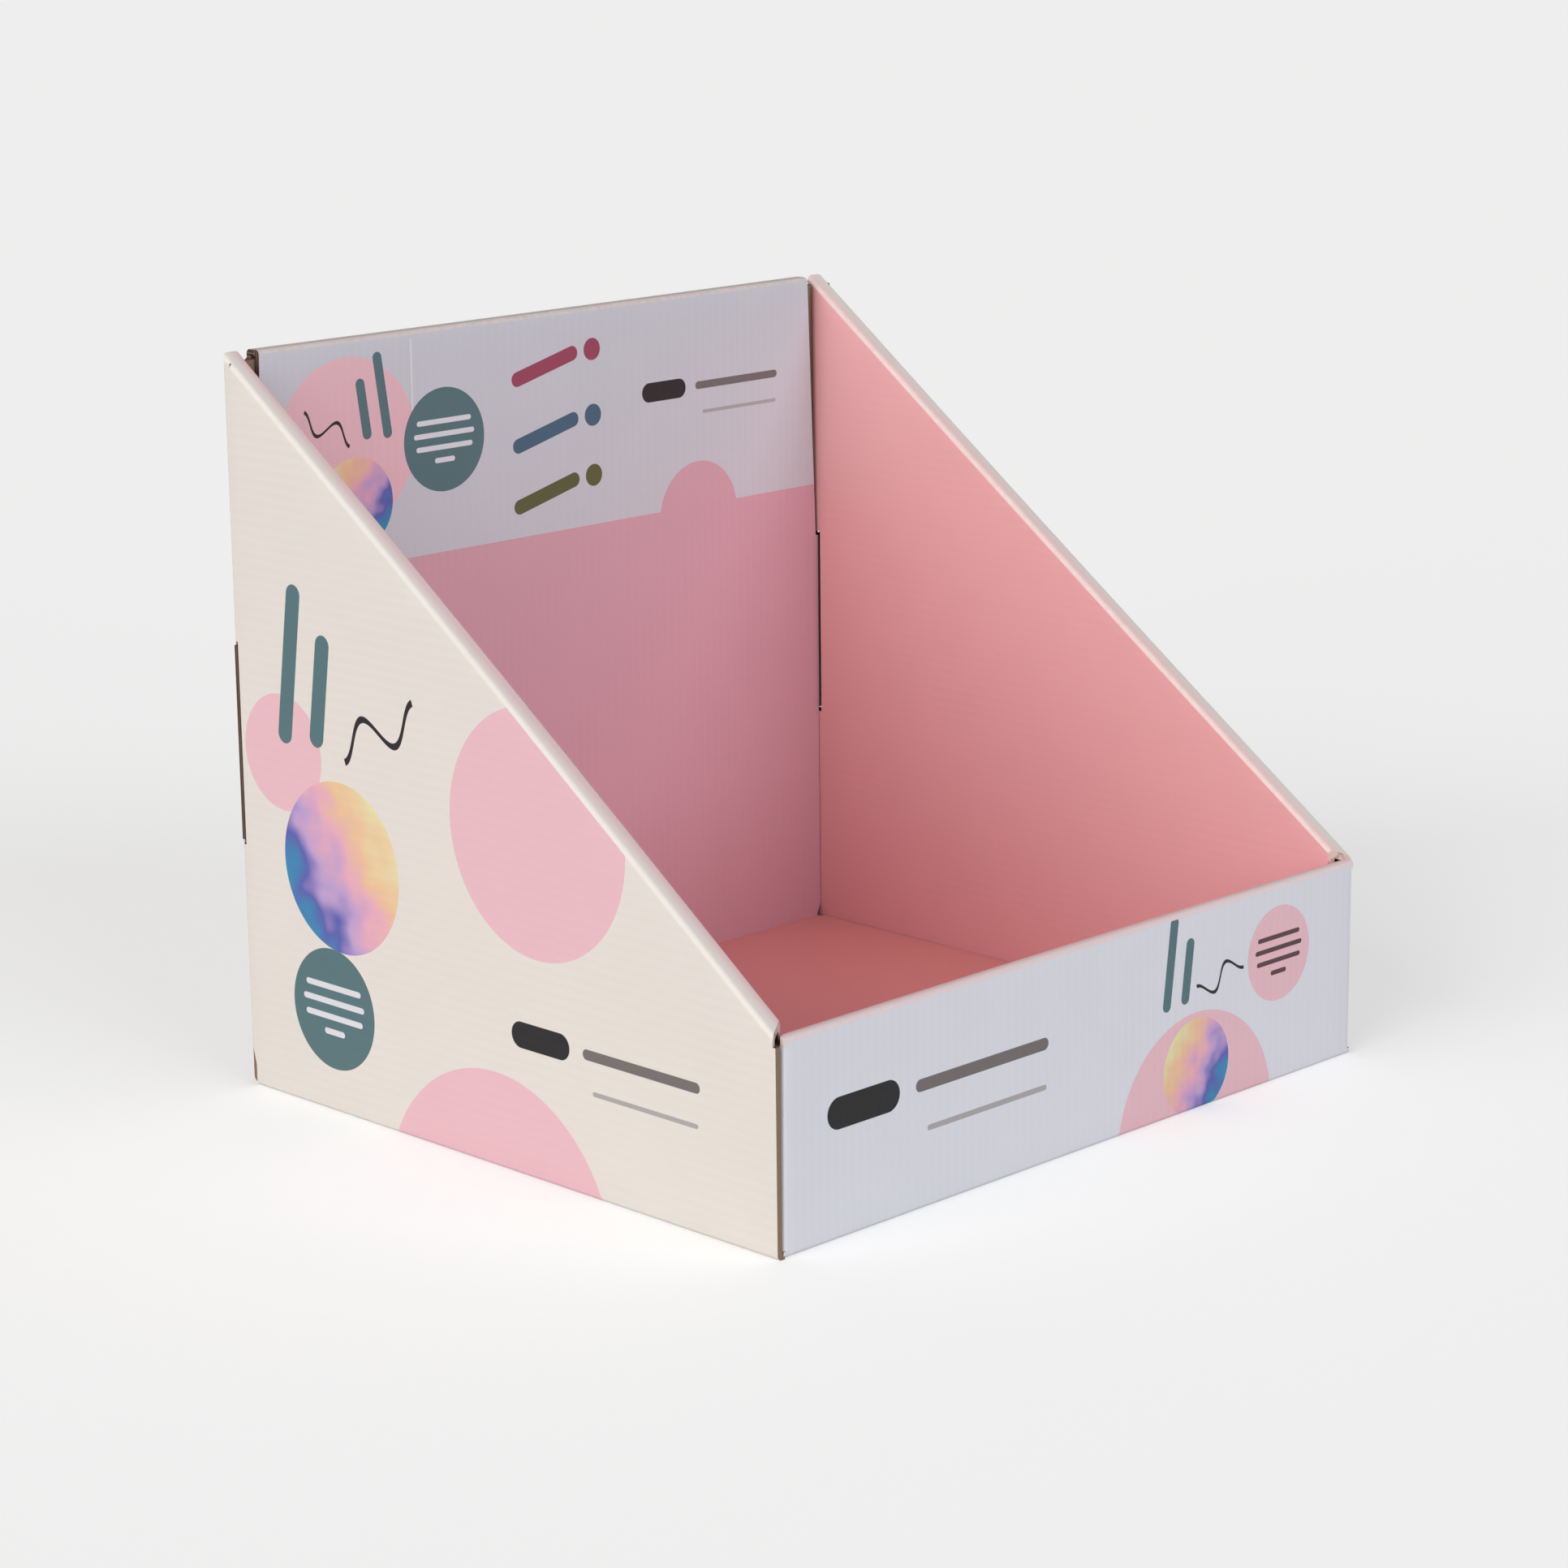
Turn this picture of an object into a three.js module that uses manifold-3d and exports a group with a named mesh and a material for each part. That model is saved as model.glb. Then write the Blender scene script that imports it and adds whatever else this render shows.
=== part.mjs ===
// Counter display box: one corrugated blank, die-cut and folded into an open tray.
// Low front lip, tall back, side walls that slope between them. Every wall is doubled:
// an outer panel rises from the base, rolls over its top edge in two creases and comes
// back down inside. Flaps are tucked between the two layers, and tabs on the inner back
// panel lock through slots in the rear corner folds.
// Millimetres, +Z up, front towards -Y. Origin at the middle of the underside.
import * as THREE from 'three';
import { mergeVertices } from 'three/addons/utils/BufferGeometryUtils.js';
import Module from 'manifold-3d';

// Driving dimensions
const width = 300;
const depth = 272;
const backHeight = 267;
const frontHeight = 74;
const board = 2.2;
const gap = 0.3;
const foldRadius = 1.9;
const foldSegments = 6;

// Front corner flaps, tucked into the side walls
const flapLength = 58;
const flapPlay = 1.2;
const flapTopDrop = 3;

// How far the front panel's right corner fold lies inside the side's outer face
const rightCorner = 0.8;

// How far each side's outer panel stops behind the front face, and its top crease too
const leftSetBack = 0.2;
const rightSetBack = 3.6;
const creaseSetBack = 1.4;

// Rear corner flaps, between the outer and the inner back panel
const rearFlapLength = 70;
const rearFlapTopDrop = 3.4;
const reliefHeight = 14;
const reliefSlantEnd = 8;
const reliefStep = 1.5;
const reliefDepth = 3;

// Back panels
const backInset = 3;
const backTaper = 4.6;
const backTaperHeight = 135;
const backShoulder = 6;

// Locking tabs of the inner back panel
const tabBottom = 92;
const tabTop = 163;
const tabPlay = 1.6;
const tabSetBack = 0.3;
const notchPlay = 1.2;

// Floor liner, and the small relief at each end of its fold
const reliefWidth = 3.5;
const reliefRise = 5;

// Places across a side wall, measured inward from its outer face
const innerSideOuter = 2 * board + flapPlay + gap;
const sideWall = innerSideOuter + board;

// Places along Y
const front = -depth / 2;
const back = depth / 2;
const frontInnerFace = front + board;
const frontLinerOuter = frontInnerFace + gap;
const frontLinerInner = frontLinerOuter + board;
const backPanelInner = back - board;
const rearFoldOuter = backPanelInner - gap;
const rearFlapInner = rearFoldOuter - board;
const backLinerOuter = rearFlapInner - gap;
const backLinerInner = backLinerOuter - board;

// Places along Z
const linerUnder = board + gap;
const linerTop = linerUnder + board;
const frontCapFoot = frontHeight - flapTopDrop;

// Slope of the side walls
const slope = Math.atan2(backHeight - frontHeight, rearFoldOuter - front);
const capDrop = board / Math.cos(slope);

const wasm = await Module();
wasm.setup();

// A solid from a closed three.js geometry
function solidOf(geometry) {
  geometry.deleteAttribute('normal');
  geometry.deleteAttribute('uv');
  const merged = mergeVertices(geometry, 1e-5);
  const mesh = new wasm.Mesh({
    numProp: 3,
    vertProperties: new Float32Array(merged.attributes.position.array),
    triVerts: new Uint32Array(merged.index.array),
  });
  return new wasm.Manifold(mesh);
}

// A 2-D outline from [x, y] points
function outlineOf(points) {
  return new THREE.Shape(points.map(([u, v]) => new THREE.Vector2(u, v)));
}

// An outline extruded by a length and placed by a matrix
function extruded(points, length, matrix) {
  const geometry = new THREE.ExtrudeGeometry(outlineOf(points), {
    depth: length,
    bevelEnabled: false,
    steps: 1,
  });
  geometry.applyMatrix4(matrix);
  return solidOf(geometry);
}

// An outline in (y, z), extruded along X
function alongX(points, from, to) {
  const axes = new THREE.Matrix4().makeBasis(
    new THREE.Vector3(0, 1, 0),
    new THREE.Vector3(0, 0, 1),
    new THREE.Vector3(1, 0, 0),
  );
  return extruded(points, to - from, axes.setPosition(from, 0, 0));
}

// An outline in (x, z), extruded along Y
function alongY(points, from, to) {
  const axes = new THREE.Matrix4().makeBasis(
    new THREE.Vector3(1, 0, 0),
    new THREE.Vector3(0, 0, 1),
    new THREE.Vector3(0, -1, 0),
  );
  return extruded(points, to - from, axes.setPosition(0, to, 0));
}

// An outline in (x, y), extruded along Z
function alongZ(points, from, to) {
  return extruded(points, to - from, new THREE.Matrix4().makeTranslation(0, 0, from));
}

// A quarter of a fold: points on an arc about a centre, from one angle to another in degrees
function foldArc(u, v, radius, from, to) {
  const points = [];
  for (let i = 0; i <= foldSegments; i += 1) {
    const angle = THREE.MathUtils.degToRad(from + ((to - from) * i) / foldSegments);
    points.push([u + radius * Math.cos(angle), v + radius * Math.sin(angle)]);
  }
  return points;
}

// X of a place that lies some way inward from a side's outer face; side is -1 or 1
function inward(side, offset) {
  return side * (width / 2 - offset);
}

// Y at which a side's outer panel begins
function sidePanelFront(side) {
  return front + (side < 0 ? leftSetBack : rightSetBack);
}

// The front panel sits a little to the right: its left corner fold stands clear of the side
// panel and leans away from it, its right one bulges round the side panel's front edge
function cornerFace(side) {
  return side < 0 ? board + gap : rightCorner;
}

function cornerLean(side) {
  return side < 0 ? flapPlay - gap : 0;
}

// Y at which a side's top crease begins: its end is mitred, so this moves back going inward
function mitreAt(offset) {
  return front + creaseSetBack + (offset * (frontLinerInner - front)) / sideWall;
}

// The base, with its side folds and its front and rear folds
function basePanel() {
  let base = alongX([
    [front, board],
    ...foldArc(front + foldRadius, foldRadius, foldRadius, 180, 270),
    ...foldArc(back - foldRadius, foldRadius, foldRadius, 270, 360),
    [back, board],
  ], inward(-1, backInset), inward(1, backInset));
  for (const side of [-1, 1]) {
    const fold = side < 0 ? [180, 270] : [0, -90];
    base = base.add(alongY([
      [inward(side, 0), board],
      ...foldArc(inward(side, foldRadius), foldRadius, foldRadius, ...fold),
      [inward(side, backInset + gap), 0],
      [inward(side, backInset + gap), board],
    ], sidePanelFront(side), rearFoldOuter - reliefDepth));
  }
  return base;
}

// One side: outer panel, sloping double-creased top and inner panel
function sideWallSolid(side) {
  const reach = depth + backHeight;
  const outer = inward(side, 0);
  const inner = inward(side, sideWall);
  const mid = (outer + inner) / 2;
  const halfWall = sideWall / 2;
  const slab = [
    [mid + halfWall, -reach],
    ...foldArc(mid + halfWall - foldRadius, -foldRadius, foldRadius, 0, 90),
    ...foldArc(mid - halfWall + foldRadius, -foldRadius, foldRadius, 90, 180),
    [mid - halfWall, -reach],
  ];
  const down = new THREE.Vector3(0, -Math.cos(slope), -Math.sin(slope));
  const normal = new THREE.Vector3(0, -Math.sin(slope), Math.cos(slope));
  const start = new THREE.Vector3(0, rearFoldOuter, backHeight).addScaledVector(down, -reach);
  const axes = new THREE.Matrix4().makeBasis(new THREE.Vector3(1, 0, 0), normal, down);
  const rolled = extruded(slab, 3 * reach, axes.setPosition(start));

  const outline = alongX([
    [front, board],
    [rearFoldOuter - reliefDepth, board],
    [rearFoldOuter - reliefDepth, reliefSlantEnd],
    [rearFoldOuter - reliefStep, reliefHeight],
    [rearFoldOuter, reliefHeight],
    [rearFoldOuter, backHeight],
    [front, frontHeight],
  ], Math.min(outer, inner), Math.max(outer, inner));

  // Seen from above: the rear fold is round
  const plan = alongZ([
    [outer, front],
    [inner, front],
    [inner, rearFoldOuter],
    [inward(side, foldRadius), rearFoldOuter],
    ...roundRearFold(side),
  ], 0, backHeight);

  // The space between the two layers, open below the inner panel and behind it
  const capUnder = (y) => backHeight - capDrop - (rearFoldOuter - y) * Math.tan(slope);
  const cavity = alongX([
    [front - board, board],
    [back, board],
    [back, capUnder(back)],
    [front - board, capUnder(front - board)],
  ], ...sorted(inward(side, board), inward(side, innerSideOuter)));
  const foot = alongX([
    [front - board, 0],
    [back, 0],
    [back, linerUnder],
    [front - board, linerUnder],
  ], ...sorted(inward(side, board), inward(side, sideWall + board)));
  const rearEdge = alongX([
    [backLinerOuter, 0],
    [back, 0],
    [back, capUnder(back)],
    [backLinerOuter, capUnder(backLinerOuter)],
  ], ...sorted(inward(side, board), inward(side, sideWall + board)));
  const frontEdge = alongX([
    [front - board, 0],
    [frontLinerOuter, 0],
    [frontLinerOuter, frontHeight - board],
    [front - board, frontHeight - board],
  ], ...sorted(inward(side, board), inward(side, sideWall + board)));

  // The front ends of the outer panel and of the mitred top crease
  const panelEnd = alongX([
    [front - board, 0],
    [sidePanelFront(side), 0],
    [sidePanelFront(side), frontHeight - capDrop],
    [front - board, frontHeight - capDrop],
  ], ...sorted(inward(side, -board), inward(side, board)));
  const creaseEnd = alongZ([
    [inward(side, -board), front - board],
    [inward(side, sideWall + board), front - board],
    [inward(side, sideWall + board), mitreAt(sideWall + board)],
    [inward(side, -board), mitreAt(-board)],
  ], frontHeight - capDrop, backHeight);
  return rolled.intersect(outline).intersect(plan)
    .subtract(cavity).subtract(foot).subtract(rearEdge)
    .subtract(frontEdge).subtract(panelEnd).subtract(creaseEnd);
}

function sorted(a, b) {
  return [Math.min(a, b), Math.max(a, b)];
}

// The outer round of a rear corner fold, from the rear towards the front
function roundRearFold(side) {
  const centre = [inward(side, foldRadius), rearFoldOuter - foldRadius];
  return side < 0
    ? foldArc(...centre, foldRadius, 90, 180)
    : foldArc(...centre, foldRadius, 90, 0);
}

// Rear corner flap, folded off the side panel's rear edge
function rearFlap(side) {
  return alongZ([
    [inward(side, rearFlapLength), rearFoldOuter],
    [inward(side, foldRadius), rearFoldOuter],
    ...roundRearFold(side),
    [inward(side, 0), rearFlapInner - board],
    [inward(side, board), rearFlapInner - board],
    [inward(side, board), rearFlapInner],
    [inward(side, rearFlapLength), rearFlapInner],
  ], reliefHeight, backHeight - rearFlapTopDrop);
}

// What the locking tab needs cut away: a slot through the corner fold and the rear flap,
// and a notch in the rear edge of the inner side panel
function tabSlot(side) {
  const low = tabBottom - tabPlay;
  const high = tabTop + tabPlay;
  const slot = alongZ([
    [inward(side, -board), backLinerOuter],
    [inward(side, sideWall + 2 * board), backLinerOuter],
    [inward(side, sideWall + 2 * board), backPanelInner],
    [inward(side, -board), backPanelInner],
  ], low, high);
  const notch = alongZ([
    [inward(side, board), backLinerInner - notchPlay],
    [inward(side, sideWall + board), backLinerInner - notchPlay],
    [inward(side, sideWall + board), rearFlapInner],
    [inward(side, board), rearFlapInner],
  ], low, high);
  return slot.add(notch);
}

// Locking tab: leaves the inner back panel and bends back into the corner slot
function lockingTab(side) {
  return alongZ([
    [inward(side, sideWall + 2 * board), backLinerInner],
    [inward(side, sideWall), backLinerInner],
    [inward(side, board), rearFlapInner],
    [inward(side, tabSetBack), rearFlapInner],
    [inward(side, tabSetBack), rearFoldOuter],
    [inward(side, board), rearFoldOuter],
    [inward(side, sideWall), backLinerOuter],
    [inward(side, sideWall + 2 * board), backLinerOuter],
  ], tabBottom, tabTop);
}

// Front lip: outer panel, double-creased top and inner panel
function frontWall() {
  const rolled = alongX([
    ...foldArc(front + foldRadius, foldRadius, foldRadius, 270, 180),
    ...foldArc(front + foldRadius, frontHeight - foldRadius, foldRadius, 180, 90),
    ...foldArc(frontLinerInner - foldRadius, frontHeight - foldRadius, foldRadius, 90, 0),
    [frontLinerInner, linerUnder],
    [frontLinerOuter, linerUnder],
    [frontLinerOuter, frontHeight - board],
    [frontInnerFace, frontHeight - board],
    [frontInnerFace, 0],
  ], inward(-1, cornerFace(-1)), inward(1, cornerFace(1)));
  let wall = rolled;
  for (const side of [-1, 1]) {
    // The top crease is mitred to the side's, and the inner layer ends at the inner side panel
    const creaseEnd = cornerFace(side) + cornerLean(side);
    const mitre = alongZ([
      [inward(side, -board), front - board],
      [inward(side, creaseEnd), front - board],
      [inward(side, creaseEnd), mitreAt(0)],
      [inward(side, creaseEnd + sideWall), mitreAt(sideWall)],
      [inward(side, -board), mitreAt(sideWall)],
    ], frontCapFoot, frontHeight + board);
    const innerEnd = alongZ([
      [inward(side, -board), frontInnerFace],
      [inward(side, sideWall + gap), frontInnerFace],
      [inward(side, sideWall + gap), frontLinerInner + board],
      [inward(side, -board), frontLinerInner + board],
    ], 0, frontHeight - board);
    // The outer panel stops where the corner fold begins
    const outerEnd = alongY([
      [inward(side, -board), linerUnder],
      [inward(side, cornerFace(side) + foldRadius), linerUnder],
      [inward(side, creaseEnd + foldRadius), frontCapFoot],
      [inward(side, -board), frontCapFoot],
    ], front - board, frontInnerFace);
    wall = wall.subtract(mitre).subtract(innerEnd).subtract(outerEnd);
  }
  return wall;
}

// Front corner flap: a round fold off the outer front panel, tucked behind the side panel
function frontFlap(side) {
  const face = board + gap;
  const corner = cornerFace(side);
  const centre = [inward(side, corner + foldRadius), front + foldRadius];
  const round = side < 0
    ? foldArc(...centre, foldRadius, 180, 270)
    : foldArc(...centre, foldRadius, 0, -90);
  const flap = new THREE.ExtrudeGeometry(outlineOf([
    [inward(side, face + board), front + flapLength],
    [inward(side, face), front + flapLength],
    [inward(side, face), front + rightSetBack],
    ...round,
    [inward(side, corner + foldRadius + board), front],
    [inward(side, corner + foldRadius + board), frontInnerFace],
    [inward(side, corner + board), frontInnerFace],
    [inward(side, face + board), front + rightSetBack],
  ]), { depth: frontCapFoot - linerUnder, bevelEnabled: false, steps: 1 });
  const lean = (-side * cornerLean(side)) / frontHeight;
  const leaning = new THREE.Matrix4().set(
    1, 0, lean, 0,
    0, 1, 0, 0,
    0, 0, 1, 0,
    0, 0, 0, 1,
  );
  flap.translate(0, 0, linerUnder);
  flap.applyMatrix4(leaning);
  return solidOf(flap);
}

// Back: outer panel, double-creased top, inner panel and the floor liner folded off it
function backWall() {
  const half = width / 2 - backInset;
  let wall = alongX([
    [back, board],
    ...foldArc(back - foldRadius, backHeight - foldRadius, foldRadius, 0, 90),
    ...foldArc(backLinerInner + foldRadius, backHeight - foldRadius, foldRadius, 90, 180),
    [backLinerInner, linerTop],
    [frontLinerInner + gap, linerTop],
    [frontLinerInner + gap, linerUnder],
    ...foldArc(backLinerOuter - foldRadius, linerUnder + foldRadius, foldRadius, 270, 360),
    [backLinerOuter, backHeight - board],
    [backPanelInner, backHeight - board],
    [backPanelInner, board],
  ], -half, half);
  const edge = sideWall + gap;
  for (const side of [-1, 1]) {
    const beyondEdge = alongY([
      [inward(side, -board), -board],
      [inward(side, edge), -board],
      [inward(side, edge), backTaperHeight],
      [inward(side, edge + backTaper), backHeight + board],
      [inward(side, -board), backHeight + board],
    ], front, backPanelInner);
    const shoulder = alongY([
      [inward(side, -board), backHeight - backShoulder],
      [inward(side, edge + backTaper - backShoulder / 2), backHeight - backShoulder],
      [inward(side, edge + backTaper), backHeight - backShoulder / 2],
      [inward(side, edge + backTaper), backHeight + board],
      [inward(side, -board), backHeight + board],
    ], backPanelInner - board, back + board);
    const foldRelief = alongY([
      [inward(side, edge - board), linerUnder - board],
      [inward(side, edge + reliefWidth), linerUnder - board],
      [inward(side, edge), linerTop + reliefRise],
      [inward(side, edge - board), linerTop + reliefRise],
    ], backLinerInner - board, backLinerOuter + gap / 2);
    wall = wall.subtract(beyondEdge).subtract(shoulder).subtract(foldRelief);
  }
  return wall;
}

let blank = basePanel().add(frontWall());
for (const side of [-1, 1]) {
  blank = blank.add(sideWallSolid(side).add(rearFlap(side)).subtract(tabSlot(side)));
  blank = blank.add(frontFlap(side));
}
blank = blank.add(backWall());
for (const side of [-1, 1]) {
  blank = blank.add(lockingTab(side));
}

const result = blank.getMesh();
const geometry = new THREE.BufferGeometry();
geometry.setAttribute('position', new THREE.BufferAttribute(result.vertProperties, 3));
geometry.setIndex(new THREE.BufferAttribute(result.triVerts, 1));

const printedBoard = new THREE.MeshStandardMaterial({
  color: 0xe6dcd6,
  roughness: 0.55,
  metalness: 0,
});

const displayBox = new THREE.Group();
const foldedTray = new THREE.Mesh(geometry, printedBoard);
foldedTray.name = 'folded_tray';
displayBox.add(foldedTray);

export default displayBox;
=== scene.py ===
"""Looks of a counter display box: printed corrugated board, folded from one blank."""
import math

import bmesh
import bpy
from mathutils import Matrix, Vector


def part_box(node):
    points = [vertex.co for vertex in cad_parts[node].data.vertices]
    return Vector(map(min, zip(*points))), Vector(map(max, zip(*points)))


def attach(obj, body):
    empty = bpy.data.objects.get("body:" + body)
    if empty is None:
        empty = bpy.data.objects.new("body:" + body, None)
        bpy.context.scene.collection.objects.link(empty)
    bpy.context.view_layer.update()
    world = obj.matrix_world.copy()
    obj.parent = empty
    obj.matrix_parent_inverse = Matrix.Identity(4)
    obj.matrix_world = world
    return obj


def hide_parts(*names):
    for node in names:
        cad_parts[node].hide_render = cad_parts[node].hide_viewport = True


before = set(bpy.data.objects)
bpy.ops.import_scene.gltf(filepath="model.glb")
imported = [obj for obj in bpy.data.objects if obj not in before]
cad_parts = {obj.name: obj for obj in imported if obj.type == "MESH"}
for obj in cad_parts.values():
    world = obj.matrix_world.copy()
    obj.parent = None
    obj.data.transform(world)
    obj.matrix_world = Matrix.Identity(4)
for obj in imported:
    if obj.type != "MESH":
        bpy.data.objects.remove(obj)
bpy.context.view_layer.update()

# Left side panel
# The sheet is corrugated board with a coated paper on its printed face. This panel rises
# from the base along a fold. It is cream, with plain discs, a note, an emblem and bars.
MM = 0.001


def srgb(red, green, blue):
    """A colour given as it is seen on screen, 0 to 255, as linear values."""
    def linear(value):
        value /= 255
        return value / 12.92 if value <= 0.04045 else ((value + 0.055) / 1.055) ** 2.4
    return (linear(red), linear(green), linear(blue), 1.0)


class Kit:
    """Builds one material. Print is drawn flat on a panel in millimetres, as masks."""

    def __init__(self, name):
        self.material = bpy.data.materials.new(name)
        self.material.use_nodes = True
        self.tree = self.material.node_tree
        self.shader = self.tree.nodes["Principled BSDF"]
        self.column = 0

    def node(self, kind, **settings):
        made = self.tree.nodes.new(kind)
        made.location = (self.column * 40 - 3000, -(self.column % 7) * 160)
        self.column += 1
        for key, value in settings.items():
            setattr(made, key, value)
        return made

    def link(self, source, target):
        if hasattr(source, "is_linked"):
            self.tree.links.new(source, target)
        elif isinstance(source, tuple):
            target.default_value = source[:len(target.default_value)]
        else:
            target.default_value = source

    def math(self, operation, first, second=None, third=None):
        made = self.node("ShaderNodeMath", operation=operation)
        for value, socket in zip((first, second, third), made.inputs):
            if value is not None:
                self.link(value, socket)
        return made.outputs[0]

    def vector(self, operation, first, second=None):
        made = self.node("ShaderNodeVectorMath", operation=operation)
        self.link(first, made.inputs[0])
        if second is not None:
            self.link(second, made.inputs[1])
        scalar = operation in ("LENGTH", "DISTANCE")
        return made.outputs["Value" if scalar else "Vector"]

    def place(self):
        """Object coordinates in millimetres, as one vector and as three numbers."""
        coordinates = self.node("ShaderNodeTexCoord").outputs["Object"]
        scaled = self.vector("MULTIPLY", coordinates, (1000, 1000, 1000))
        split = self.node("ShaderNodeSeparateXYZ")
        self.link(scaled, split.inputs[0])
        return scaled, split.outputs["X"], split.outputs["Y"], split.outputs["Z"]

    def flat(self, across, up):
        made = self.node("ShaderNodeCombineXYZ")
        self.link(across, made.inputs[0])
        self.link(up, made.inputs[1])
        return made.outputs[0]

    def below(self, value, limit, soft=0.12):
        """1 where value is under the limit, 0 above it, with a soft printed edge."""
        made = self.node("ShaderNodeMapRange", interpolation_type="SMOOTHSTEP")
        self.link(value, made.inputs["Value"])
        made.inputs["From Min"].default_value = limit - soft
        made.inputs["From Max"].default_value = limit + soft
        made.inputs["To Min"].default_value = 1
        made.inputs["To Max"].default_value = 0
        return made.outputs["Result"]

    def mix(self, first, second, amount):
        made = self.node("ShaderNodeMix", data_type="RGBA")
        self.link(amount, made.inputs[0])
        self.link(first, made.inputs[6])
        self.link(second, made.inputs[7])
        return made.outputs[2]

    def noise(self, vector, scale, detail=3.0, roughness=0.55):
        made = self.node("ShaderNodeTexNoise")
        self.link(vector, made.inputs["Vector"])
        made.inputs["Scale"].default_value = scale
        made.inputs["Detail"].default_value = detail
        made.inputs["Roughness"].default_value = roughness
        return made.outputs["Fac"]

    def disc(self, spot, centre, radius):
        distance = self.vector("DISTANCE", spot, (*centre, 0))
        return self.below(distance, radius)

    def pill(self, spot, centre, length, thickness, angle=0):
        """A bar with round ends, turned by an angle in degrees."""
        turned = self.node("ShaderNodeVectorRotate", rotation_type="Z_AXIS")
        self.link(spot, turned.inputs["Vector"])
        turned.inputs["Center"].default_value = (*centre, 0)
        turned.inputs["Angle"].default_value = math.radians(-angle)
        offset = self.vector("SUBTRACT", turned.outputs[0], (*centre, 0))
        folded = self.vector("ABSOLUTE", offset)
        past = self.vector("SUBTRACT", folded, ((length - thickness) / 2, 0, 0))
        outside = self.vector("MAXIMUM", past, (0, 0, 0))
        return self.below(self.vector("LENGTH", outside), thickness / 2)

    def wave(self, spot, centre, length, height, thickness, angle=0):
        """A line that swings up and down once and a half, with plain ends."""
        turned = self.node("ShaderNodeVectorRotate", rotation_type="Z_AXIS")
        self.link(spot, turned.inputs["Vector"])
        turned.inputs["Center"].default_value = (*centre, 0)
        turned.inputs["Angle"].default_value = math.radians(-angle)
        offset = self.vector("SUBTRACT", turned.outputs[0], (*centre, 0))
        split = self.node("ShaderNodeSeparateXYZ")
        self.link(offset, split.inputs[0])
        along = self.math("MULTIPLY", split.outputs["X"], 3 * math.pi / length)
        swing = self.math("MULTIPLY", self.math("SINE", along), height / 2)
        off = self.math("ABSOLUTE", self.math("SUBTRACT", split.outputs["Y"], swing))
        line = self.below(off, thickness / 2)
        inside = self.below(self.math("ABSOLUTE", split.outputs["X"]), length / 2)
        return self.math("MULTIPLY", line, inside)


def board_surface(kit, colour, across_flutes, rough=0.42):
    """The finish of coated board: faint flute ridges, painted sheen streaks on them, paper mottle and a
    low satin coat.
    """
    spot, _, _, _ = kit.place()
    mottle = kit.noise(spot, 0.05, 4)
    speck = kit.noise(spot, 1.3, 2)
    ridges = kit.math("SINE", kit.math("MULTIPLY", across_flutes, 2 * math.pi / FLUTE_PITCH))
    flute_ridges_and_sheen = kit.math("MULTIPLY", ridges, kit.noise(spot, 0.02, 2))
    tone_and_streak_sheen = kit.math("MULTIPLY_ADD", mottle, 0.04, 0.97)
    tone_and_streak_sheen = kit.math("MULTIPLY_ADD", speck, 0.02, tone_and_streak_sheen)
    # Patches of the flute ridges also lift and lower the colour slightly: painted sheen streaks.
    tone_and_streak_sheen = kit.math("MULTIPLY_ADD", flute_ridges_and_sheen, 0.014, tone_and_streak_sheen)
    tinted = kit.vector("SCALE", colour)
    kit.link(tone_and_streak_sheen, tinted.node.inputs["Scale"])
    kit.link(tinted, kit.shader.inputs["Base Color"])
    kit.shader.inputs["IOR"].default_value = 1.45
    kit.link(kit.math("MULTIPLY_ADD", mottle, 0.12, rough - 0.06), kit.shader.inputs["Roughness"])

    grain = kit.noise(spot, 4.0, 3)
    swell = kit.noise(spot, 0.11, 2)
    height = kit.math("MULTIPLY_ADD", flute_ridges_and_sheen, 0.09, kit.math("MULTIPLY", grain, 0.03))
    height = kit.math("MULTIPLY_ADD", swell, 0.5, height)
    bump = kit.node("ShaderNodeBump")
    bump.inputs["Strength"].default_value = 0.35
    bump.inputs["Distance"].default_value = 0.0006
    kit.link(height, bump.inputs["Height"])
    kit.link(bump.outputs[0], kit.shader.inputs["Normal"])


def slogan(kit, spot, paper, start, end, line):
    """Three plain bars: a thick dark one, a thin grey one beside it and a finer one below."""
    reach = end - start
    length = abs(reach)
    dark = (start + reach * 0.165, line)
    grey = (start + reach * 0.69, line)
    fine = (start + reach * 0.71, line - length * 0.14)
    paper = kit.mix(paper, BLACK, kit.pill(spot, dark, length * 0.31, length * 0.10))
    paper = kit.mix(paper, GREY, kit.pill(spot, grey, length * 0.60, length * 0.04))
    return kit.mix(paper, PALE_GREY, kit.pill(spot, fine, length * 0.54, length * 0.018))


def note(kit, spot, paper, centre, radius, ink):
    """Four short bars centred in a disc, like the lines of a small note."""
    for row, share in enumerate((1.35, 1.5, 1.4, 0.5)):
        height = centre[1] + radius * (0.36 - 0.25 * row)
        bar = kit.pill(spot, (centre[0], height), radius * share, radius * 0.10)
        paper = kit.mix(paper, ink, bar)
    return paper


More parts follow.
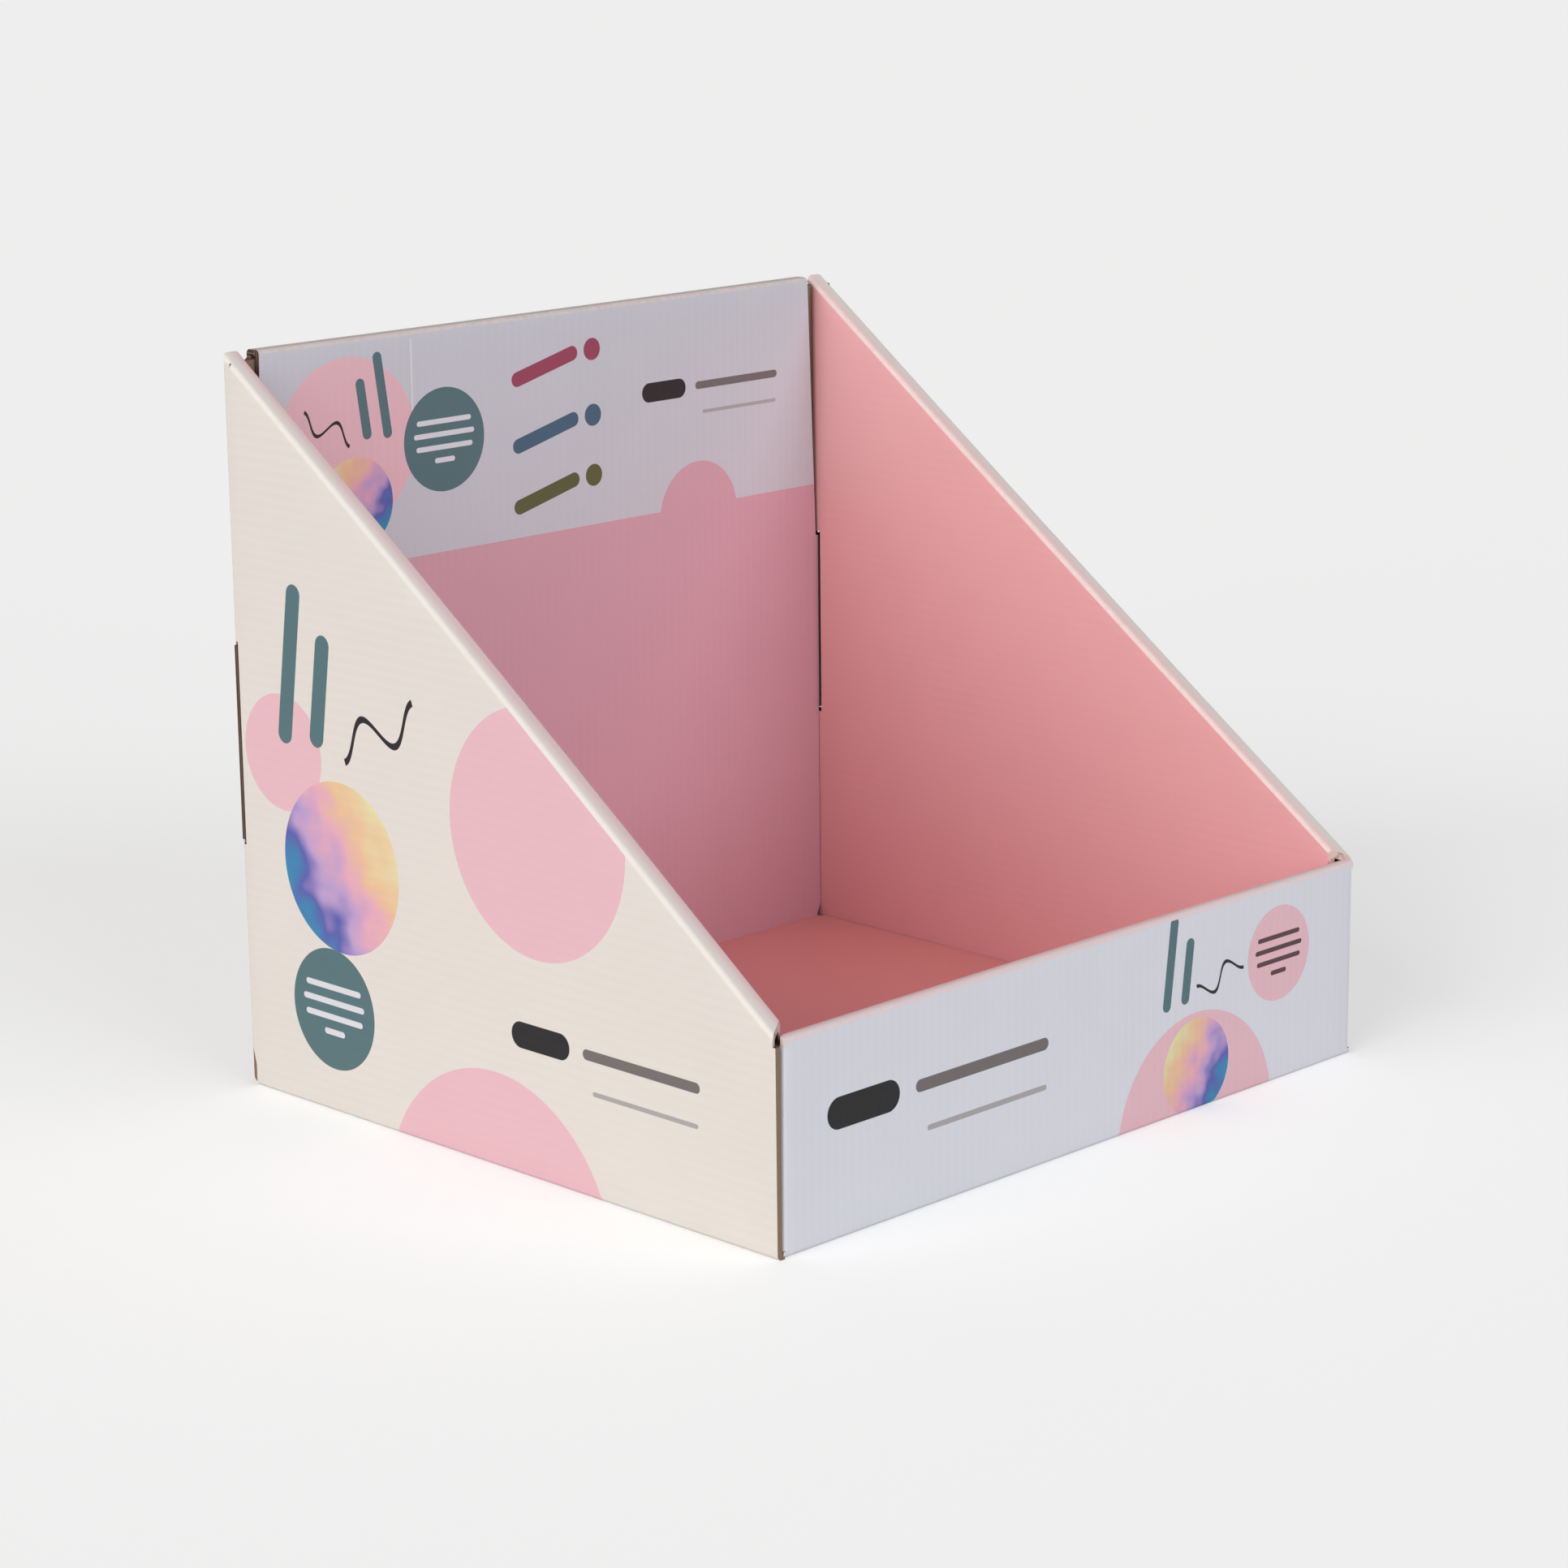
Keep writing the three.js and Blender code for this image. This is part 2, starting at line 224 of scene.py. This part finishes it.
def pearl(kit, spot, paper, centre, radius):
    """A disc whose colour runs from straw through peach, pink and lilac to blue."""
    turned = kit.node("ShaderNodeVectorRotate", rotation_type="Z_AXIS")
    kit.link(spot, turned.inputs["Vector"])
    turned.inputs["Center"].default_value = (*centre, 0)
    turned.inputs["Angle"].default_value = math.radians(35)
    split = kit.node("ShaderNodeSeparateXYZ")
    kit.link(turned.outputs[0], split.inputs[0])
    swirl = kit.noise(spot, 2.2 / radius, 1)
    along = kit.math("SUBTRACT", split.outputs["X"], centre[0] - radius)
    along = kit.math("DIVIDE", along, 2 * radius)
    along = kit.math("ADD", along, kit.math("MULTIPLY_ADD", swirl, 0.5, -0.25))
    ramp = kit.node("ShaderNodeValToRGB")
    kit.link(along, ramp.inputs[0])
    stops = (
        (0.0, srgb(238, 228, 178)),
        (0.25, srgb(244, 200, 158)),
        (0.45, srgb(240, 178, 196)),
        (0.65, srgb(196, 164, 214)),
        (0.82, srgb(94, 100, 182)),
        (1.0, srgb(52, 146, 190)),
    )
    while len(ramp.color_ramp.elements) < len(stops):
        ramp.color_ramp.elements.new(1.0)
    for element, (position, colour) in zip(ramp.color_ramp.elements, stops):
        element.position = position
        element.color = colour
    return kit.mix(paper, ramp.outputs[0], kit.disc(spot, centre, radius))


def emblem(kit, spot, paper, centre, size, mirror):
    """A made-up motif: a pearly disc, two teal bars above it and a dark wave beside them."""
    u, v = centre
    paper = pearl(kit, spot, paper, (u, v - size * 0.50), size * 0.50)
    lean = 90 - mirror * 8
    long_bar = (u - mirror * size * 0.40, v + size * 0.62)
    paper = kit.mix(paper, TEAL, kit.pill(spot, long_bar, size * 0.94, size * 0.12, lean))
    short_bar = (u - mirror * size * 0.14, v + size * 0.50)
    paper = kit.mix(paper, TEAL, kit.pill(spot, short_bar, size * 0.66, size * 0.12, lean))
    line = (u + mirror * size * 0.36, v + size * 0.34)
    wave = kit.wave(spot, line, size * 0.70, size * 0.20, size * 0.04, mirror * 20)
    return kit.mix(paper, BLACK, wave)


CREAM = srgb(236, 229, 222)
PINK = srgb(240, 194, 203)
TEAL = srgb(88, 120, 126)
BLACK = srgb(38, 36, 38)
GREY = srgb(120, 112, 112)
PALE_GREY = srgb(178, 172, 172)
WHITE = srgb(229, 229, 236)


SIDE_DISCS = (((108, 128), 21.1), ((-24, 121), 43.3), ((-1, -24), 58))
SIDE_NOTE = ((84.7, 38.3), 22.2)
FLUTE_PITCH = 3.8


def left_print():
    kit = Kit("print_left")
    _, _, y, z = kit.place()
    spot = kit.flat(y, z)
    paper = CREAM
    for centre, radius in SIDE_DISCS:
        paper = kit.mix(paper, PINK, kit.disc(spot, centre, radius))
    paper = emblem(kit, spot, paper, (78, 122), 62, -1)
    paper = kit.mix(paper, TEAL, kit.disc(spot, *SIDE_NOTE))
    paper = note(kit, spot, paper, *SIDE_NOTE, WHITE)
    paper = slogan(kit, spot, paper, -9, -102, 50)
    board_surface(kit, paper, z)
    return kit.material


# Right side panel
# The twin of the left one, folded up from the base in the same way. It has the same cream
# ground and the same discs.
def right_print():
    kit = Kit("print_right")
    _, _, y, z = kit.place()
    spot = kit.flat(y, z)
    paper = CREAM
    for centre, radius in SIDE_DISCS:
        paper = kit.mix(paper, PINK, kit.disc(spot, centre, radius))
    paper = kit.mix(paper, TEAL, kit.disc(spot, *SIDE_NOTE))
    board_surface(kit, paper, z)
    return kit.material


# Front lip
# The low panel at the front, printed white with two pink discs, a small emblem and bars.
# Its ends fold round both corners and go in behind the side panels.
FRONT_NOTE = ((106, 48), 17.6)


def front_print():
    kit = Kit("print_front")
    _, x, _, z = kit.place()
    spot = kit.flat(x, z)
    paper = kit.mix(WHITE, PINK, kit.disc(spot, (60, -6.5), 42.5))
    paper = kit.mix(paper, PINK, kit.disc(spot, *FRONT_NOTE))
    paper = note(kit, spot, paper, *FRONT_NOTE, srgb(96, 66, 76))
    paper = emblem(kit, spot, paper, (60, 34), 36, 1)
    paper = slogan(kit, spot, paper, -128, -18, 43)
    board_surface(kit, paper, x)
    return kit.material


# Inner back panel
# It hangs from the top fold and locks in the rear corners with two tabs. A mauve pink runs
# up to a white header with a disc, a note, an emblem, three strokes and bars. The header's
# white is laid greyer than the front's white: painted shade at the back of the tray.
# Greyer than WHITE: painted shade for the header's lower light inside the tray.
HEADER_WHITE_IN_SHADE = srgb(210, 211, 219)
HEADER_FOOT = 184
HEADER_NOTE = ((-53.8, 225.6), 19.2)
MAUVE = srgb(220, 170, 183)


def back_inner_print():
    kit = Kit("print_back_inner")
    _, x, _, z = kit.place()
    spot = kit.flat(x, z)
    paper = kit.mix(HEADER_WHITE_IN_SHADE, MAUVE, kit.below(z, HEADER_FOOT))
    paper = kit.mix(paper, MAUVE, kit.disc(spot, (75.3, 180.6), 20.8))
    paper = kit.mix(paper, PINK, kit.disc(spot, (-99, 229), 31.5))
    paper = emblem(kit, spot, paper, (-96, 224), 34, -1)
    paper = kit.mix(paper, TEAL, kit.disc(spot, *HEADER_NOTE))
    paper = note(kit, spot, paper, *HEADER_NOTE, WHITE)
    strokes = (
        (247, srgb(160, 70, 96)),
        (222, srgb(72, 104, 128)),
        (199, srgb(96, 98, 58)),
    )
    for height, ink in strokes:
        paper = kit.mix(paper, ink, kit.pill(spot, (-4, height), 34, 5.6, 14))
        paper = kit.mix(paper, ink, kit.disc(spot, (20, height + 4), 4.2))
    paper = slogan(kit, spot, paper, 45, 120, 231)
    seam = kit.pill(spot, (-68.5, 251), 26, 0.7, 90)
    paper = kit.mix(paper, srgb(250, 248, 248), kit.math("MULTIPLY", seam, 0.5))
    board_surface(kit, paper, x)
    return kit.material


# Inside of the tray, the outer back panel and the base
# One ink each: pink on the inner side panels, the inner front panel and the floor liner,
# and plain cream on the back and the underside. The floor liner's pink is laid redder and
# darker than the walls' pink: painted shade of the deep tray floor.
def plain_print(name, colour, axis):
    kit = Kit(name)
    _, x, y, z = kit.place()
    board_surface(kit, colour, {"x": x, "y": y, "z": z}[axis])
    return kit.material


# Rolled top edges
# Each wall goes over its top in two creases, so the band between them lies flat. The cream
# of the outside turns to the pale start of the pink there, and both creases carry a patchy,
# lighter line: a painted highlight on the crease crests.
LOW, HIGH = [Vector(corner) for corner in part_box("folded_tray")]
HALF_WIDTH = HIGH.x
FRONT = LOW.y
BACK = HIGH.y
TOP = HIGH.z
BOARD = 2.2 * MM
GAP = 0.3 * MM
FOLD = 1.9 * MM
SIDE_WALL = 8.1 * MM
FRONT_LINER = FRONT + 2 * BOARD + GAP
BACK_LINER = BACK - 3 * BOARD - 2 * GAP


def crease_print(name, axis, near, far, outer, inner):
    kit = Kit(name)
    spot, x, y, _ = kit.place()
    across = kit.math("ABSOLUTE", x) if axis == "x" else y
    share = kit.math("DIVIDE", kit.math("SUBTRACT", across, near / MM), (far - near) / MM)
    blend = kit.node("ShaderNodeMapRange", interpolation_type="SMOOTHSTEP")
    kit.link(share, blend.inputs["Value"])
    blend.inputs["From Min"].default_value = 0.25
    blend.inputs["From Max"].default_value = 0.80
    paper = kit.mix(outer, inner, blend.outputs["Result"])
    # A patchy pale line along both creases: painted highlight on the crease crests.
    rim = kit.math("ABSOLUTE", kit.math("SUBTRACT", share, 0.5))
    crest_highlight = kit.math("SUBTRACT", 1, kit.below(rim, 0.38, 0.08))
    crest_highlight = kit.math("MULTIPLY", crest_highlight, kit.below(kit.noise(spot, 0.35, 3), 0.5, 0.2))
    paper = kit.mix(paper, srgb(246, 234, 228), kit.math("MULTIPLY", crest_highlight, 0.35))
    board_surface(kit, paper, across, 0.5)
    return kit.material


# Raw board
# The brown reverse shows inside the doubled walls. Where a panel ends, the cut shows the
# fluted layer between two liners, its hollows painted dark as shade; at the mitred corners
# the cut is crushed and pinkish.
KRAFT = srgb(152, 124, 102)


def kraft_reverse():
    kit = Kit("kraft_reverse")
    spot, _, _, _ = kit.place()
    fibre = kit.noise(spot, 0.9, 5, 0.65)
    kit.link(kit.mix(srgb(132, 106, 86), KRAFT, fibre), kit.shader.inputs["Base Color"])
    kit.shader.inputs["Roughness"].default_value = 0.85
    bump = kit.node("ShaderNodeBump")
    bump.inputs["Strength"].default_value = 0.3
    bump.inputs["Distance"].default_value = 0.0003
    kit.link(fibre, bump.inputs["Height"])
    kit.link(bump.outputs[0], kit.shader.inputs["Normal"])
    return kit.material


def raw_edge(name, waves):
    kit = Kit(name)
    spot, _, _, _ = kit.place()
    coordinates = kit.node("ShaderNodeUVMap", uv_map="cut_edge").outputs[0]
    split = kit.node("ShaderNodeSeparateXYZ")
    kit.link(coordinates, split.inputs[0])
    along, through = split.outputs["X"], split.outputs["Y"]
    ragged = kit.math("MULTIPLY_ADD", kit.noise(spot, 0.8, 3), 0.12, -0.06)
    liner = kit.math("ABSOLUTE", kit.math("SUBTRACT", through, 0.5))
    liners = kit.math("SUBTRACT", 1, kit.below(liner, 0.34, 0.05))
    centre = 0.5
    if waves:
        turn = kit.math("MULTIPLY", along, 2 * math.pi / FLUTE_PITCH)
        centre = kit.math("MULTIPLY_ADD", kit.math("SINE", turn), 0.30, 0.5)
    off = kit.math("ABSOLUTE", kit.math("SUBTRACT", kit.math("ADD", through, ragged), centre))
    flute = kit.below(off, 0.08, 0.05)
    solid = kit.math("MAXIMUM", liners, flute)
    fibre = kit.noise(spot, 1.4, 4)
    paper = kit.mix(srgb(122, 100, 86), srgb(150, 124, 106), fibre)
    # Outside the liners and the flute the cut is dark brown: painted shade in the open hollows.
    kit.link(kit.mix(srgb(70, 55, 47), paper, solid), kit.shader.inputs["Base Color"])
    kit.shader.inputs["Roughness"].default_value = 0.9
    bump = kit.node("ShaderNodeBump")
    bump.inputs["Strength"].default_value = 0.8
    bump.inputs["Distance"].default_value = 0.0006
    kit.link(solid, bump.inputs["Height"])
    kit.link(bump.outputs[0], kit.shader.inputs["Normal"])
    return kit.material


def crushed_end():
    kit = Kit("crushed_end")
    spot, _, _, _ = kit.place()
    torn = kit.below(kit.noise(spot, 0.35, 2), 0.42, 0.08)
    paper = kit.mix(srgb(216, 190, 185), srgb(170, 146, 136), torn)
    kit.link(paper, kit.shader.inputs["Base Color"])
    kit.shader.inputs["Roughness"].default_value = 0.8
    return kit.material


# The folded sheet
# A copy of the tray's solid is merged into whole panels, so that each face can take the
# print or the raw board it has on the sheet. It bows a little, as folded board does.
MATERIALS = {
    "left": left_print(),
    "right": right_print(),
    "front": front_print(),
    "back_inner": back_inner_print(),
    "back_outer": plain_print("print_back_outer", CREAM, "x"),
    "under": plain_print("print_underside", CREAM, "x"),
    "side_inner": plain_print("print_side_inner", srgb(241, 180, 183), "z"),
    # Redder and darker than the wall pink: painted shade on the tray floor.
    "floor_inner": plain_print("floor_inner_pink_in_painted_shade", srgb(242, 168, 163), "x"),
    "front_inner": plain_print("print_front_inner", srgb(238, 180, 184), "x"),
    "side_crease": crease_print(
        "crease_side", "x", HALF_WIDTH, HALF_WIDTH - SIDE_WALL, CREAM, srgb(240, 211, 209)),
    "front_crease": crease_print(
        "crease_front", "y", FRONT, FRONT_LINER, srgb(236, 216, 217), srgb(244, 198, 197)),
    "back_crease": crease_print(
        "crease_back", "y", BACK, BACK_LINER, CREAM, srgb(216, 204, 202)),
    "reverse": kraft_reverse(),
    "edge_waves": raw_edge("raw_edge_across_flutes", True),
    "edge_lines": raw_edge("raw_edge_along_flutes", False),
    "crushed": crushed_end(),
}
SLOTS = list(MATERIALS)
NEAR = 0.05 * MM
LIP = 74 * MM
REAR_FOLD = BACK - BOARD - GAP
SLOPE = math.atan2(TOP - LIP, REAR_FOLD - FRONT)
LINER_TOP = 2 * BOARD + GAP
FRONT_FLAP = 60 * MM
CREASE_DEPTH = 2.6 * MM
MITRE_DROP = 3.1 * MM
CORNER_MARGIN = 3 * MM
RIGHT_CORNER = 0.7 * MM


def slope_height(y):
    """Height of the sloping top of a side wall at a place along Y."""
    return LIP + (y - FRONT) * math.tan(SLOPE)


def side_name(centre, normal):
    """The printed face of a side wall that a face belongs to, if any."""
    outward = normal.x * (1 if centre.x > 0 else -1)
    depth_in = HALF_WIDTH - abs(centre.x)
    outer = "left" if centre.x < 0 else "right"
    if outward > 0.5 and depth_in < NEAR:
        return outer
    if depth_in < FOLD and centre.z < FOLD and 0.02 < outward and normal.z < 0:
        return outer
    on_rear_fold = depth_in < FOLD and centre.y > REAR_FOLD - FOLD and abs(normal.z) < 0.1
    if on_rear_fold and 0.05 < outward < 0.995:
        return outer
    if outward < -0.9 and abs(depth_in - SIDE_WALL) < NEAR:
        return "side_inner"
    over_slope = centre.z - slope_height(centre.y)
    on_top = over_slope > -CREASE_DEPTH and centre.z > LIP - CORNER_MARGIN and normal.z > 0.02
    if depth_in < SIDE_WALL + NEAR and on_top:
        return "side_crease"
    return None


def front_name(centre, normal):
    """The printed face of the front lip or of its corner folds, if any."""
    depth_in = HALF_WIDTH - abs(centre.x)
    if centre.y > FRONT + FRONT_FLAP or centre.z > LIP + NEAR:
        return None
    if centre.y < FRONT_LINER + NEAR and centre.z > LIP - FOLD and normal.z > 0.02:
        return "front_crease"
    if normal.y > 0.9 and abs(centre.y - FRONT_LINER) < NEAR:
        return "front_inner"
    if normal.y < -0.9 and centre.y < FRONT + NEAR:
        return "front"
    if centre.y < FRONT + FOLD and centre.z < FOLD and normal.y < -0.02 and normal.z < 0:
        return "front"
    left_round = BOARD + NEAR < depth_in < BOARD + CORNER_MARGIN
    around = left_round or RIGHT_CORNER < depth_in < BOARD
    if around and centre.y < FRONT + FOLD and normal.y < -0.02 and abs(normal.z) < 0.1:
        return "front" if abs(normal.x) > 0.02 else None
    return None


def back_name(centre, normal):
    """The printed face of the back, the base or the floor that a face belongs to, if any."""
    if normal.y < -0.9 and abs(centre.y - BACK_LINER) < NEAR:
        return "back_inner"
    if centre.y > BACK_LINER - NEAR and centre.z > TOP - FOLD and normal.z > 0.02:
        return "back_crease"
    if normal.y > 0.9 and centre.y > BACK - NEAR:
        return "back_outer"
    if centre.y > BACK - FOLD and centre.z < FOLD and normal.y > 0.02 and normal.z < 0:
        return "back_outer"
    if normal.z < -0.9 and centre.z < NEAR:
        return "under"
    if normal.z > 0.9 and abs(centre.z - LINER_TOP) < NEAR:
        return "floor_inner"
    return None


def is_mitre(centre, normal):
    """Whether a face is one of the cut ends where the top creases meet at the front."""
    depth_in = HALF_WIDTH - abs(centre.x)
    near_front = centre.y < FRONT_LINER + CORNER_MARGIN
    in_corner = depth_in < SIDE_WALL + CORNER_MARGIN and near_front
    return in_corner and centre.z > LIP - MITRE_DROP and abs(normal.z) < 0.3


def cut_edge(face):
    """For a raw face: its long direction, and whether it is as narrow as the board."""
    longest = max(face.edges, key=lambda edge: edge.calc_length())
    along = (longest.verts[1].co - longest.verts[0].co).normalized()
    across = face.normal.cross(along)
    reach = [vert.co.dot(across) for vert in face.verts]
    return along, across, max(reach) - min(reach) < 1.5 * BOARD


def name_faces(mesh):
    """Gives each panel its material slot, and each cut edge its lengthwise coordinates."""
    layer = mesh.loops.layers.uv.new("cut_edge")
    for face in mesh.faces:
        centre = face.calc_center_bounds()
        normal = face.normal
        name = side_name(centre, normal) or front_name(centre, normal)
        name = name or back_name(centre, normal)
        if name is None and is_mitre(centre, normal):
            name = "crushed"
        if name is None:
            along, across, narrow = cut_edge(face)
            name = "reverse"
            if narrow:
                upright = abs(along.z) > 0.7
                on_side_panel = abs(across.x) > 0.7
                name = "edge_waves" if upright and on_side_panel else "edge_lines"
                reach = [vert.co.dot(across) for vert in face.verts]
                low, span = min(reach), max(max(reach) - min(reach), NEAR)
                for loop in face.loops:
                    spot = loop.vert.co
                    through = (spot.dot(across) - low) / span
                    loop[layer].uv = (spot.dot(along) / MM, through)
        face.material_index = SLOTS.index(name)


def slice_evenly(mesh, step):
    """Cuts the panels into a grid, so that the board can bow a little."""
    for axis in range(3):
        normal = [0, 0, 0]
        normal[axis] = 1
        count = int((HIGH[axis] - LOW[axis]) / step)
        for index in range(1, count):
            point = [0, 0, 0]
            point[axis] = LOW[axis] + (HIGH[axis] - LOW[axis]) * index / count
            geometry = mesh.verts[:] + mesh.edges[:] + mesh.faces[:]
            bmesh.ops.bisect_plane(mesh, geom=geometry, plane_co=point, plane_no=normal)


def hump(value, low, high):
    """0 at both ends of a span and 1 in its middle."""
    share = min(max((value - low) / (high - low), 0), 1)
    return math.sin(math.pi * share)


SIDE_GIVE = 1.1 * MM
BACK_GIVE = 0.9 * MM
FRONT_GIVE = 0.7 * MM


def bow(spot):
    """How far hand-folded board gives: free edges draw in by about a millimetre."""
    x, y, z = spot
    share_up = min(max(z / TOP, 0), 1)
    near_side = min(max((abs(x) - HALF_WIDTH + 14 * MM) / (4 * MM), 0), 1)
    inward = SIDE_GIVE * hump(y, FRONT + 12 * MM, BACK_LINER - 4 * MM) * near_side
    inward *= min(max(z / max(slope_height(y), LIP), 0), 1) ** 1.5
    near_back = min(max((y - BACK_LINER + 3 * MM) / (3 * MM), 0), 1)
    forward = BACK_GIVE * hump(x, -HALF_WIDTH + 12 * MM, HALF_WIDTH - 12 * MM) * near_back
    near_front = min(max((FRONT_LINER + 3 * MM - y) / (3 * MM), 0), 1)
    rearward = FRONT_GIVE * hump(x, -HALF_WIDTH + 9 * MM, HALF_WIDTH - 9 * MM) * near_front
    move_y = rearward * min(z / LIP, 1) ** 1.5 - forward * share_up ** 1.5
    return Vector((-inward if x > 0 else inward, move_y, 0))


def folded_board():
    mesh = bmesh.new()
    mesh.from_mesh(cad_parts["folded_tray"].data)
    bmesh.ops.remove_doubles(mesh, verts=mesh.verts, dist=NEAR / 5)
    bmesh.ops.dissolve_limit(
        mesh, angle_limit=math.radians(0.3), verts=mesh.verts, edges=mesh.edges)
    name_faces(mesh)
    slice_evenly(mesh, 10 * MM)
    for vert in mesh.verts:
        vert.co += bow(vert.co)
    for face in mesh.faces:
        face.smooth = True
    for edge in mesh.edges:
        if len(edge.link_faces) == 2:
            edge.smooth = edge.calc_face_angle(0) < math.radians(32)
    data = bpy.data.meshes.new("folded_board")
    mesh.to_mesh(data)
    mesh.free()
    piece = bpy.data.objects.new("folded_board", data)
    bpy.context.scene.collection.objects.link(piece)
    for material in MATERIALS.values():
        data.materials.append(material)
    return piece


board = folded_board()
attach(board, "root")
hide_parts("folded_tray")


# Floor
# A pale, plain floor that reaches past the picture. Camera rays see it a little lifted.
def stage_floor():
    mesh = bmesh.new()
    bmesh.ops.create_grid(mesh, x_segments=1, y_segments=1, size=40)
    data = bpy.data.meshes.new("stage_floor")
    mesh.to_mesh(data)
    mesh.free()
    floor = bpy.data.objects.new("stage_floor", data)
    bpy.context.scene.collection.objects.link(floor)
    kit = Kit("stage_floor")
    kit.shader.inputs["Base Color"].default_value = (0.70, 0.70, 0.70, 1)
    kit.shader.inputs["Roughness"].default_value = 0.9
    kit.shader.inputs["Specular IOR Level"].default_value = 0.1
    kit.shader.inputs["Emission Color"].default_value = (1, 1, 1, 1)
    seen = kit.node("ShaderNodeLightPath").outputs["Is Camera Ray"]
    kit.link(kit.math("MULTIPLY", seen, 0.445), kit.shader.inputs["Emission Strength"])
    data.materials.append(kit.material)
    return floor


stage_floor()


# Light
# Soft light from the left and a cooler, weaker one from the front, over an even glow.
def sun(name, towards, strength, colour, spread):
    data = bpy.data.lights.new(name, "SUN")
    data.energy = strength
    data.color = colour
    data.angle = math.radians(spread)
    lamp = bpy.data.objects.new(name, data)
    lamp.rotation_euler = Vector(towards).to_track_quat("Z", "Y").to_euler()
    bpy.context.scene.collection.objects.link(lamp)


sun("key_left", (-0.93, -0.05, 0.36), 2.05, (1.0, 0.975, 0.945), 50)
sun("fill_front", (0.05, -0.94, 0.30), 1.42, (0.93, 0.96, 1.0), 50)

world = bpy.data.worlds.new("even_glow")
world.use_nodes = True
world.node_tree.nodes["Background"].inputs["Color"].default_value = (1, 1, 1, 1)
world.node_tree.nodes["Background"].inputs["Strength"].default_value = 0.23
bpy.context.scene.world = world


# Camera
# Placed by the tray's corners in the photograph: left of the front, a little above.
CAMERA_TURN = math.radians(-45.15)
CAMERA_RISE = math.radians(13.88)
CAMERA_ROLL = math.radians(-0.60)
CAMERA_PLACE = Vector((-1.0276, -1.0139, 0.4639))
CAMERA_LENS = 94.68

rise, turn = CAMERA_RISE, CAMERA_TURN
behind = Vector((math.sin(turn) * math.cos(rise), -math.cos(turn) * math.cos(rise), math.sin(rise)))
level = Vector((math.cos(turn), math.sin(turn), 0))
over = behind.cross(level)
right = math.cos(CAMERA_ROLL) * level + math.sin(CAMERA_ROLL) * over
up = math.cos(CAMERA_ROLL) * over - math.sin(CAMERA_ROLL) * level

lens = bpy.data.cameras.new("camera")
lens.lens = CAMERA_LENS
lens.sensor_width = 36
lens.clip_end = 100
camera = bpy.data.objects.new("camera", lens)
camera.matrix_world = Matrix.Translation(CAMERA_PLACE) @ Matrix((right, up, behind)).transposed().to_4x4()
bpy.context.scene.collection.objects.link(camera)
bpy.context.scene.camera = camera
bpy.context.scene.view_settings.view_transform = "Standard"
